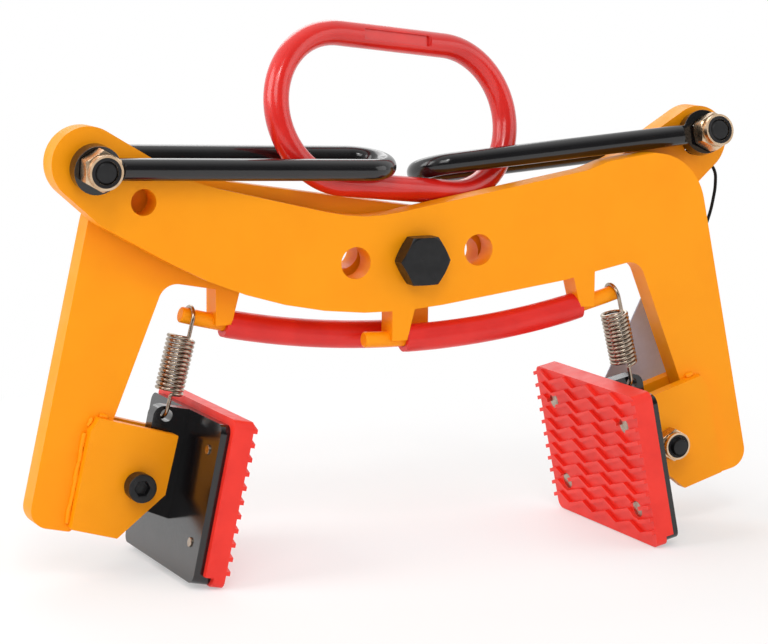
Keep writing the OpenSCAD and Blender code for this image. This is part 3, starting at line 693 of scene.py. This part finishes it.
@dataclass
class Studio:
    """Camera, floor, lamps and world.

    The world looks white behind the clamp and dims to the strength named room in front of
    it, where a direction's Y is room_from. The floor is drawn white by the share haze under
    the clamp, and wholly where fade ends. A lamp's row holds name, place, size and power.
    """

    azimuth: float = -25.52
    elevation: float = 9.11
    roll: float = 0.45
    distance: float = 1.60657
    target: Point = (-0.01485, 0.0, 0.147585)
    lens: float = 118.19
    sensor: float = 36.0
    sight: float = 50.0
    floor_colour: Colour = (0.97, 0.97, 0.97)
    floor_size: float = 12.0
    floor_drop: float = 0.0005
    soft_light: float = 0.6
    room: float = 0.12
    room_from: float = -0.75
    fade: tuple[float, float] = (0.34, 0.6)
    haze: float = 0.4
    aim: Point = (0.0, 0.0, 0.17)
    lamps: tuple[tuple[str, Point, float, float], ...] = (
        ("key", (-1.1, -1.9, 1.9), 1.2, 15),
        ("spark", (-0.5, -1.5, 2.0), 0.3, 4),
        ("fill", (1.9, -1.4, 0.9), 1.4, 8),
        ("side", (-1.7, 0.1, 1.2), 1.2, 15),
        ("rim", (0.4, 1.8, 1.6), 1.4, 12),
    )

    def camera(self) -> None:
        """Place the camera at the photograph's angle."""
        azimuth, elevation = math.radians(self.azimuth), math.radians(self.elevation)
        level = math.cos(elevation)
        back = Vector(
            (math.sin(azimuth) * level, -math.cos(azimuth) * level, math.sin(elevation))
        )
        right = Vector((math.cos(azimuth), math.sin(azimuth), 0))
        up = back.cross(right)
        turn = Matrix.Rotation(math.radians(self.roll), 3, back)
        data = bpy.data.cameras.new("camera")
        data.lens = self.lens
        data.sensor_width = self.sensor
        data.clip_end = self.sight
        camera = bpy.data.objects.new("camera", data)
        bpy.context.scene.collection.objects.link(camera)
        axes = Matrix((turn @ right, turn @ up, back)).transposed().to_4x4()
        place = Matrix.Translation(Vector(self.target) + back * self.distance)
        camera.matrix_world = place @ axes
        bpy.context.scene.camera = camera

    def lamp(self, name: str, place: Vector, aim: Vector, size: float, power: float) -> None:
        """Add one square area lamp.

        Args:
            name: Name of the lamp.
            place: Where it hangs.
            aim: Point that it faces.
            size: Side of the square, in metres.
            power: Power in watts.
        """
        data = bpy.data.lights.new(name, "AREA")
        data.size = size
        data.energy = power
        lamp = bpy.data.objects.new(name, data)
        bpy.context.scene.collection.objects.link(lamp)
        lamp.location = place
        lamp.rotation_euler = (aim - place).to_track_quat("-Z", "Y").to_euler()

    @staticmethod
    def seen_rays(tree: bpy.types.NodeTree) -> Socket:
        """Value of 1 for rays that show the set itself, straight, in gloss or through glass."""
        path = tree.nodes.new("ShaderNodeLightPath")
        seen = path.outputs["Is Camera Ray"]
        for name in ("Is Glossy Ray", "Is Transmission Ray"):
            either = tree.nodes.new("ShaderNodeMath")
            either.operation = "MAXIMUM"
            tree.links.new(seen, either.inputs[0])
            tree.links.new(path.outputs[name], either.inputs[1])
            seen = either.outputs[0]
        return seen

    def world(self) -> None:
        """Light the set evenly, show white behind it and a dimmer room in front of it."""
        world = bpy.data.worlds.new("studio")
        world.use_nodes = True
        tree = world.node_tree
        tree.nodes.clear()
        new, link = tree.nodes.new, tree.links.new
        output = new("ShaderNodeOutputWorld")
        soft = new("ShaderNodeBackground")
        soft.inputs["Color"].default_value = WHITE
        soft.inputs["Strength"].default_value = self.soft_light
        white = new("ShaderNodeBackground")
        white.inputs["Color"].default_value = WHITE
        compass = new("ShaderNodeSeparateXYZ")
        link(new("ShaderNodeTexCoord").outputs["Generated"], compass.inputs[0])
        room = new("ShaderNodeMapRange")
        ends = (("From Min", self.room_from), ("From Max", 0), ("To Min", self.room), ("To Max", 1))
        for key, value in ends:
            room.inputs[key].default_value = value
        link(compass.outputs["Y"], room.inputs["Value"])
        link(room.outputs["Result"], white.inputs["Strength"])
        mixer = new("ShaderNodeMixShader")
        link(self.seen_rays(tree), mixer.inputs["Fac"])
        link(soft.outputs[0], mixer.inputs[1])
        link(white.outputs[0], mixer.inputs[2])
        link(mixer.outputs[0], output.inputs["Surface"])
        bpy.context.scene.world = world

    def floor(self) -> None:
        """Lay a pale floor that keeps the clamp's shadow and fades to white away from it."""
        Bench.pick()
        bpy.ops.mesh.primitive_plane_add(size=self.floor_size, location=(0, 0, -self.floor_drop))
        floor = Bench.take("studio_floor")
        board = NodeBoard("studio floor")
        board.set(Roughness=1.0, Specular_IOR_Level=0.0)
        plain = self.floor_colour
        board.base(board.tones(plain, plain, scale=3.0, detail=2.0, start=0.0, end=1.0))
        new = board.tree.nodes.new
        white = new("ShaderNodeEmission")
        white.inputs["Strength"].default_value = 1.0
        reach = new("ShaderNodeVectorMath")
        reach.operation = "LENGTH"
        board.link(board.place, reach.inputs[0])
        away = board.spread(reach.outputs["Value"], self.haze, 1.0, *self.fade)
        both = new("ShaderNodeMath")
        both.operation = "MULTIPLY"
        board.link(self.seen_rays(board.tree), both.inputs[0])
        board.link(away, both.inputs[1])
        mixer = new("ShaderNodeMixShader")
        board.link(both.outputs[0], mixer.inputs["Fac"])
        board.link(board.shader.outputs["BSDF"], mixer.inputs[1])
        board.link(white.outputs["Emission"], mixer.inputs[2])
        board.link(mixer.outputs[0], board.output.inputs["Surface"])
        floor.data.materials.append(board.material)

    def build(self) -> None:
        """Set up world, floor and lamps; main() places the camera before any piece."""
        self.world()
        self.floor()
        for name, place, size, power in self.lamps:
            self.lamp(name, Vector(place), Vector(self.aim), size, power)
        bpy.context.scene.view_settings.view_transform = "Standard"
        log.info("studio ready")


@dataclass
class Arms:
    """The two crossed plate arms with their cheeks and weld beads."""

    edge: float = 0.0011
    cheek_edge: float = 0.0008
    bead_grain: float = 0.0006
    bead_lump: float = 0.0016
    bead_lump_size: float = 0.0045
    bead_level: float = 0.42
    bead_flow: float = 0.6
    bead_passes: int = 5

    def weld(self, side: Side, finishes: Finishes) -> None:
        """Turn the straight beads of one side into soft, uneven ones under the paint."""
        node = side.prefix + "cheek_welds"
        piece = Bench.copy_node(node, node + "_piece")
        Bench.pick(piece)
        Bench.apply(piece, "REMESH", mode="VOXEL", voxel_size=self.bead_grain)
        drops = bpy.data.textures.new(node + "_drops", "CLOUDS")
        drops.noise_scale = self.bead_lump_size
        drops.noise_depth = 1
        Bench.apply(
            piece, "DISPLACE", texture=drops, strength=self.bead_lump, mid_level=self.bead_level
        )
        Bench.apply(piece, "SMOOTH", factor=self.bead_flow, iterations=self.bead_passes)
        bpy.ops.object.shade_smooth()
        finishes.dress(piece, Slot.ORANGE)
        Bench.finish(piece, side.arm, node)

    def build(self, finishes: Finishes) -> None:
        """Dress both arms, the cheeks and the welds."""
        for side in Side:
            DressedPart(side.arm, Slot.ORANGE, side.arm, self.edge, 3).build(finishes)
            for place in ("front", "rear"):
                node = f"{side.prefix}{place}_cheek"
                DressedPart(node, Slot.ORANGE, side.arm, self.cheek_edge, 2).build(finishes)
            self.weld(side, finishes)


@dataclass(frozen=True)
class BoltSize:
    """Radii of a bolt and of its nut's collar, heights of nut and tip, and the thread's pitch."""

    shank_r: float
    collar_r: float
    nut_top: float
    tip: float
    pitch: float = 0.00175


@dataclass
class Bolting:
    """One bolt with its locking nut, drawn along +Z of its own frame: the nut's end is up.

    The point is the chamfer at the bolt's tip, across and along. The ring's rims are its
    heights over the nut at the inner and the outer edge.
    """

    name: str
    body: str
    where: Matrix
    size: BoltSize
    bolt_edge: float = 0.0006
    head_edge: float = 0.0007
    nut_edge: float = 0.0008
    sunk: float = 0.0008
    cut_depth: float = 0.0006
    point: tuple[float, float] = (0.0006, 0.0002)
    ring_rims: tuple[float, float] = (0.0002, 0.0001)
    ring_share: float = 0.87
    ring_gap: float = 0.0001
    ring_lip: float = 0.0005
    ring_round: float = 0.0004
    thread_depth: float = 0.0009
    thread_gap: float = 0.00005
    crest_span: tuple[float, float] = (0.42, 0.58)
    least_end: float = 0.002

    @property
    def threaded(self) -> bool:
        """Whether enough of the bolt stands out to show its thread."""
        return self.size.tip - self.size.nut_top > self.least_end

    def ring(self, finishes: Finishes) -> None:
        """Make the dark locking ring in the nut's collar."""
        top = self.size.nut_top
        low, lip = top - self.sunk, top + self.ring_lip
        inner = self.size.shank_r + self.ring_gap
        outer = self.size.collar_r * self.ring_share
        profile = [
            (inner, low),
            (inner, top + self.ring_rims[0]),
            (inner + self.ring_round, lip),
            (outer - self.ring_round, lip),
            (outer, top + self.ring_rims[1]),
            (outer, low),
            (inner, low),
        ]
        piece = Bench.lathe(self.name + "_nut_ring", profile)
        Bench.place(piece, self.where)
        Bench.tidy_normals(piece)
        finishes.dress(piece, Slot.BLACK_STEEL, finishes.nylon)
        Bench.finish(piece, self.body)

    def thread(self, finishes: Finishes) -> None:
        """Make the thread on the bolt's end."""
        tip, pitch = self.size.tip, self.size.pitch
        across, along = self.point
        root, crest = self.size.shank_r - self.thread_depth, self.size.shank_r - self.thread_gap
        height = self.size.nut_top - self.sunk
        profile = [(0.0, height), (root, height)]
        while height + pitch < tip - 2 * along:
            profile += [(crest, height + pitch * share) for share in self.crest_span]
            height += pitch
            profile.append((root, height))
        profile += [(root, tip - along), (root - across, tip), (0.0, tip)]
        piece = Bench.lathe(self.name + "_bolt_thread", profile)
        Bench.place(piece, self.where)
        Bench.tidy_normals(piece, 50)
        finishes.dress(piece, Slot.BLACK_STEEL)
        Bench.finish(piece, self.body)

    def cut_end(self, piece: Piece) -> None:
        """Cut off the copied bolt's end, which the thread stands in for."""
        direction = self.where.to_3x3() @ Vector((0, 0, 1))
        cut = self.where @ Vector((0, 0, self.size.nut_top - self.cut_depth))
        with Bench.editing():
            bpy.ops.mesh.bisect(
                plane_co=cut, plane_no=direction, use_fill=True, clear_outer=True, clear_inner=False
            )

    def build(self, finishes: Finishes) -> None:
        """Dress the bolt and the nut and add ring and thread."""
        bolt, nut = self.name + "_bolt", self.name + "_nut"
        if self.threaded:
            part = DressedPart(bolt, Slot.BLACK_STEEL, self.body, self.head_edge, 3)
            part.build(finishes, shape=self.cut_end)
            self.thread(finishes)
        else:
            DressedPart(bolt, Slot.BLACK_STEEL, self.body, self.bolt_edge, 3).build(finishes)
        DressedPart(nut, Slot.ZINC, self.body, self.nut_edge, 3).build(finishes)
        self.ring(finishes)

    @staticmethod
    def along(point: Point, direction: Point) -> Matrix:
        """Frame at a point with +Z along a direction."""
        turn = Vector(direction).to_track_quat("Z", "Y").to_matrix().to_4x4()
        return Matrix.Translation(Vector(point)) @ turn


@dataclass
class Pivot:
    """The main bolt with its washer, spacer and nut."""

    size: BoltSize = BoltSize(
        shank_r=0.010, collar_r=0.01425, nut_top=0.0393, tip=0.0443, pitch=0.0025
    )
    washer_edge: float = 0.0005

    def build(self, finishes: Finishes) -> None:
        """Dress the pivot's pieces."""
        where = Bolting.along((0, 0, PIVOT_H), (0, 1, 0))
        Bolting("pivot", "pivot", where, self.size).build(finishes)
        for node in ("pivot_washer", "arm_spacer"):
            DressedPart(node, Slot.ZINC, "pivot", self.washer_edge).build(finishes)


@dataclass
class Bows:
    """The two bows that pull the arm ends, with their bolts and nuts.

    Pitch, rock and yaw of a bow, and the rock of its bolt, are in degrees, left one first.
    The round bar's shoulder moves from flat_from to flat_to, measured from the bolt.
    """

    edge: float = 0.0012
    pitch: tuple[float, float] = (-2.3, -4.7)
    rock: tuple[float, float] = (-8.5, 15.5)
    yaw: tuple[float, float] = (1.7, 3.1)
    flat_from: float = 0.020
    flat_to: float = 0.016
    reach: float = 0.0003
    bolt_x: float = 0.2165
    bolt_z: float = 0.068
    bolt_rock: tuple[float, float] = (-4.5, 12.5)
    size: BoltSize = BoltSize(shank_r=0.007, collar_r=0.01045, nut_top=0.0383, tip=0.0391)

    def bolt_point(self, side: Side) -> Point:
        """Middle of one bow's bolt, in the arm's end."""
        return (side.value * self.bolt_x, side.value * ARM_Y, PIVOT_H + self.bolt_z)

    def bolting(self, side: Side) -> Bolting:
        """The bolt of one bow, which rocks a little about X."""
        rock = math.radians(self.bolt_rock[side.index])
        where = Bolting.along(self.bolt_point(side), (0, -math.cos(rock), math.sin(rock)))
        return Bolting(side.prefix + "bow", side.prefix + "bow", where, self.size)

    def frame_of(self, side: Side) -> Matrix:
        """A bow's own frame, with its bolt at the origin and +X along its legs to the bend."""
        way, which = side.value, side.index
        turn = Matrix.Rotation(math.radians(-way * self.yaw[which]), 4, "Z")
        turn = turn @ Matrix.Rotation(math.radians(way * self.pitch[which]), 4, "Y")
        turn = turn @ Matrix.Rotation(math.radians(-self.rock[which]), 4, "X")
        place = Matrix.Translation(self.bolt_point(side))
        return place @ turn @ Matrix.Diagonal((-way, 1, 1, 1))

    def draw_out(self, side: Side, piece: Piece) -> None:
        """Move the shoulders of a bow's round bar up to the rims of its eyes."""
        own = self.frame_of(side)
        back = own.inverted()
        with Bench.editing("DESELECT", "VERT"):
            Bench.select_where(piece, lambda p: abs((back @ p).x - self.flat_from) < self.reach)
            step = own.to_3x3() @ Vector((self.flat_to - self.flat_from, 0, 0))
            bpy.ops.transform.translate(value=step)

    def build(self, finishes: Finishes) -> None:
        """Dress both bows and their bolts."""
        for side in Side:
            bow = side.prefix + "bow"
            part = DressedPart(bow, Slot.BLACK_PAINT, bow, self.edge, 3)
            part.build(finishes, shape=partial(self.draw_out, side))
            self.bolting(side).build(finishes)


@dataclass
class MasterLink:
    """The oblong link that the hook takes, with a bare sunk panel on its upper run.

    Yaw, lean and roll, in degrees, are the link's own turn; they give the panel's direction.
    """

    edge: float = 0.0005
    lean: float = 13.7
    yaw: float = 10.7
    roll: float = 7.0
    rim: float = 0.0008
    depth: float = 0.0017
    least_dot: float = 0.999
    least_area: float = 0.0001

    def panel_normal(self) -> Vector:
        """Direction in which the panel looks."""
        turn = Matrix.Rotation(math.radians(self.yaw), 3, "Z")
        turn = turn @ Matrix.Rotation(math.radians(90 - self.lean), 3, "X")
        return turn @ Matrix.Rotation(math.radians(-self.roll), 3, "Z") @ Vector((0, 0, 1))

    def sink_panel(self, piece: Piece) -> None:
        """Sink the flat of the link inside a narrow rim."""
        normal = self.panel_normal()
        sink = tuple(-normal * self.depth)
        with Bench.editing("DESELECT", "FACE"):
            mesh = bmesh.from_edit_mesh(piece.data)
            for face in mesh.faces:
                if face.normal.dot(normal) > self.least_dot and face.calc_area() > self.least_area:
                    face.select = True
            bmesh.update_edit_mesh(piece.data)
            bpy.ops.mesh.inset(thickness=self.rim, depth=0.0)
            bpy.ops.mesh.extrude_region_move(TRANSFORM_OT_translate={"value": sink})

    def build(self, finishes: Finishes) -> None:
        """Dress the link with its panel sunk."""
        part = DressedPart("master_link", Slot.RED, "master_link", self.edge)
        part.build(finishes, shape=self.sink_panel)


@dataclass
class Handles:
    """The curved handle bars and their hose sleeves."""

    edge: float = 0.0011
    sleeve_edge: float = 0.0006
    swell: float = 0.0009

    def swell_hose(self, _: Piece) -> None:
        """Swell a copied hose sleeve, which is the active piece, so that it sits full."""
        with Bench.editing():
            bpy.ops.transform.shrink_fatten(value=self.swell)

    def build(self, finishes: Finishes) -> None:
        """Dress the bars and sleeves."""
        for side in Side:
            bar, sleeve = side.prefix + "handle_bar", side.prefix + "handle_sleeve"
            DressedPart(bar, Slot.ORANGE, side.arm, self.edge, 3).build(finishes)
            part = DressedPart(sleeve, Slot.HOSE, side.arm, self.sleeve_edge, 3)
            part.build(finishes, shape=self.swell_hose)


@dataclass
class Jaws:
    """The tilting jaws: rib, plate, pad, screws, bolt, washers and nut."""

    plate_edge: float = 0.0012
    rib_edge: float = 0.0008
    pad_edge: float = 0.0007
    screw_edge: float = 0.0004
    washer_edge: float = 0.0003
    bolt_x: float = 0.184
    bolt_z: float = -0.132
    size: BoltSize = BoltSize(shank_r=0.006, collar_r=0.009, nut_top=0.028, tip=0.031)

    def bolting(self, side: Side) -> Bolting:
        """The bolt of one jaw; its nut is at the front of the front arm's leg."""
        point = (side.value * self.bolt_x, -side.value * ARM_Y, PIVOT_H + self.bolt_z)
        where = Bolting.along(point, (0, -side.value, 0))
        return Bolting(side.prefix + "jaw", side.arm, where, self.size)

    def build(self, finishes: Finishes) -> None:
        """Dress both jaws."""
        for side in Side:
            jaw, pad = side.prefix + "jaw", side.prefix + "pad"
            DressedPart(jaw + "_plate", Slot.BLACK_PAINT, jaw, self.plate_edge, 3).build(finishes)
            DressedPart(jaw + "_rib", Slot.BLACK_PAINT, jaw, self.rib_edge).build(finishes)
            DressedPart(pad, Slot.RUBBER, jaw, self.pad_edge).build(finishes)
            screws = DressedPart(pad + "_screws", Slot.ZINC, jaw, self.screw_edge)
            screws.build(finishes, finishes.wire)
            DressedPart(jaw + "_washers", Slot.ZINC, side.arm, self.washer_edge).build(finishes)
            self.bolting(side).build(finishes)


@dataclass
class Springs:
    """The return springs between the handle bars and the jaws, each one bent wire.

    A spring is drawn in its own frame: the handle bar's axis is at 0, the lug lies along
    +Z, and the wire's ends are on the side of Y named front. Bar and lug are X and Z from
    the main bolt on the right side. The middles of the hooks lie at heights bar_hook and
    lug_hook, and each hook is bent through its own number of degrees.
    """

    wire_r: float = 0.00125
    wire_sides: int = 12
    coil_r: float = 0.0080
    turns: int = 13
    turn_steps: int = 28
    pitch: float = 0.00274
    coil_start: float = 0.01302
    bend: float = 0.0015
    bend_steps: int = 5
    bar_hook: float = 0.0019
    bar_hook_turn: float = 200.0
    lug_hook: float = 0.0565
    lug_hook_turn: float = 165.0
    hook_steps: int = 24
    bar_at: tuple[float, float] = (0.1455, -0.03134)
    lug_at: tuple[float, float] = (0.16081, -0.09189)

    def frame_of(self, side: Side) -> Matrix:
        """The spring's frame in the world."""
        (bar_x, bar_z), (lug_x, lug_z) = self.bar_at, self.lug_at
        turn = math.radians(90) - math.atan2(lug_z - bar_z, lug_x - bar_x)
        half_turn = 0 if side is Side.RIGHT else math.pi
        arm = Matrix.Translation((0, 0, PIVOT_H)) @ Matrix.Rotation(half_turn, 4, "Z")
        place = Matrix.Translation((bar_x, -ARM_Y, bar_z))
        return arm @ place @ Matrix.Rotation(turn, 4, "Y")

    def coil(self, name: str, front: int) -> Piece:
        """Screw a circle of wire round the axis.

        Args:
            name: Name of the piece.
            front: Sign of Y where the wire starts and ends.

        Returns:
            The coil, open at both ends.
        """
        Bench.pick()
        bpy.ops.mesh.primitive_circle_add(
            vertices=self.wire_sides,
            radius=self.wire_r,
            location=(0, front * self.coil_r, self.coil_start),
            rotation=(0, math.radians(90), 0),
        )
        piece = Bench.take(name)
        bpy.ops.object.transform_apply(location=True, rotation=True, scale=True)
        Bench.apply(
            piece, "SCREW", axis="Z", angle=math.tau, screw_offset=self.pitch,
            iterations=self.turns, steps=self.turn_steps, render_steps=self.turn_steps,
        )
        return piece

    def bend_end(
        self, piece: Piece, front: int, start: float, way: int, run: float, hook: float
    ) -> None:
        """Bend one end of the wire out of the coil and round into its hook.

        Args:
            piece: The coil.
            front: Sign of Y of the wire's end.
            start: Height of the wire's end.
            way: 1 where the hook lies up the axis, -1 where it lies down.
            run: Height of the hook's middle.
            hook: Angle of the hook, in degrees.
        """
        end = Vector((0, front * self.coil_r, start))
        knee = end + Vector((0, 0, way * self.bend))
        near = self.wire_r * 1.05
        with Bench.editing("DESELECT", "VERT"):
            Bench.select_where(piece, lambda p: (p - end).length < near and abs(p.x) < 0.0001)
            Bench.spin_on(knee, Vector((0, front, 0)), 90, self.bend_steps)
            rise = run - (start + way * self.bend)
            bpy.ops.mesh.extrude_region_move(TRANSFORM_OT_translate={"value": (0, 0, rise)})
            middle, axis = Vector((0, 0, run)), Vector((way * front, 0, 0))
            Bench.spin_on(middle, axis, hook, self.hook_steps)
            bpy.ops.mesh.edge_face_add()

    def build(self, finishes: Finishes) -> None:
        """Bend both springs."""
        for side in Side:
            node = side.prefix + "spring"
            front = -side.value
            top = self.coil_start + self.turns * self.pitch
            piece = self.coil(node + "_wire", front)
            self.bend_end(piece, front, self.coil_start, -1, self.bar_hook, self.bar_hook_turn)
            self.bend_end(piece, front, top, 1, self.lug_hook, self.lug_hook_turn)
            with Bench.editing():
                bpy.ops.mesh.remove_doubles(threshold=0.00001)
                bpy.ops.mesh.normals_make_consistent(inside=False)
            where = self.frame_of(side)
            Bench.place(piece, where)
            bpy.ops.object.shade_smooth_by_angle(angle=math.radians(50))
            finishes.dress(piece, Slot.ZINC, finishes.wire)
            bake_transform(piece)
            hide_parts(node)
            log.info("%s bent", piece.name)


@dataclass
class Tag:
    """The blank hang tag on its thin cord, which loops through the back arm's spare hole.

    The cord's route is in millimetres, with heights from the main bolt's axis.
    """

    edge: float = 0.0002
    cord_d: float = 0.0022
    route_mm: tuple[Point, ...] = (
        (221.4, 24.2, -32.4), (221.8, 25.4, -32), (222.6, 26.6, -30), (225, 26.6, -24.5),
        (229, 25.6, -16), (234, 24, -5), (238.5, 22.8, 4), (242, 22, 14), (244.5, 22, 24),
        (246, 22, 35), (244.8, 22, 44), (240.5, 21.8, 48), (232, 21.4, 46.8), (222, 21, 45.6),
        (212, 20.8, 45), (202, 20.5, 45), (192, 20.5, 45), (185, 19.5, 45), (182.4, 15, 45),
        (182, 8, 45), (182.2, 3, 44.5), (184, 0.2, 42), (187, 0, 36), (191, 0, 28), (196, 0, 20),
        (202, 1, 11), (208, 4, 1), (213, 9, -9), (217.5, 15.5, -18.5), (221, 20, -25.5),
        (221.8, 21.4, -29.5), (221.7, 22.4, -31.8), (221.4, 23.8, -32.4),
    )

    def build(self, finishes: Finishes) -> None:
        """Lay the cord and dress the tag and its eyelet."""
        DressedPart("hang_tag", Slot.CARD, "back_arm", self.edge, 1).build(finishes)
        eyelet = DressedPart("tag_eyelet", Slot.ZINC, "back_arm", self.edge).build(finishes)
        Bench.pick()
        bpy.ops.curve.primitive_bezier_curve_add(location=(0, 0, 0))
        cord = Bench.take("tag_cord_line")
        points = [Vector((x, y, z)) * MM + Vector((0, 0, PIVOT_H)) for x, y, z in self.route_mm]
        spline = cord.data.splines[0]
        spline.bezier_points.add(len(points) - len(spline.bezier_points))
        for knot, point in zip(spline.bezier_points, points):
            knot.co = point
            knot.handle_left_type = knot.handle_right_type = "AUTO"
        spline.resolution_u = 4
        cord.data.dimensions = "3D"
        cord.data.bevel_depth = self.cord_d / 2
        cord.data.bevel_resolution = 3
        cord.data.use_fill_caps = True
        finishes.dress(cord, Slot.CORD)
        Bench.finish(cord, "back_arm", "tag_cord")


def main() -> None:
    """Build the studio and every sub-assembly, the camera and the cord first."""
    finishes = Finishes()
    finishes.build()
    studio = Studio()
    studio.camera()
    Tag().build(finishes)
    studio.build()
    for part in (Arms(), Pivot(), Bows(), MasterLink(), Handles(), Jaws(), Springs()):
        part.build(finishes)
        log.info("%s done", type(part).__name__)


if __name__ == "__main__":
    main()
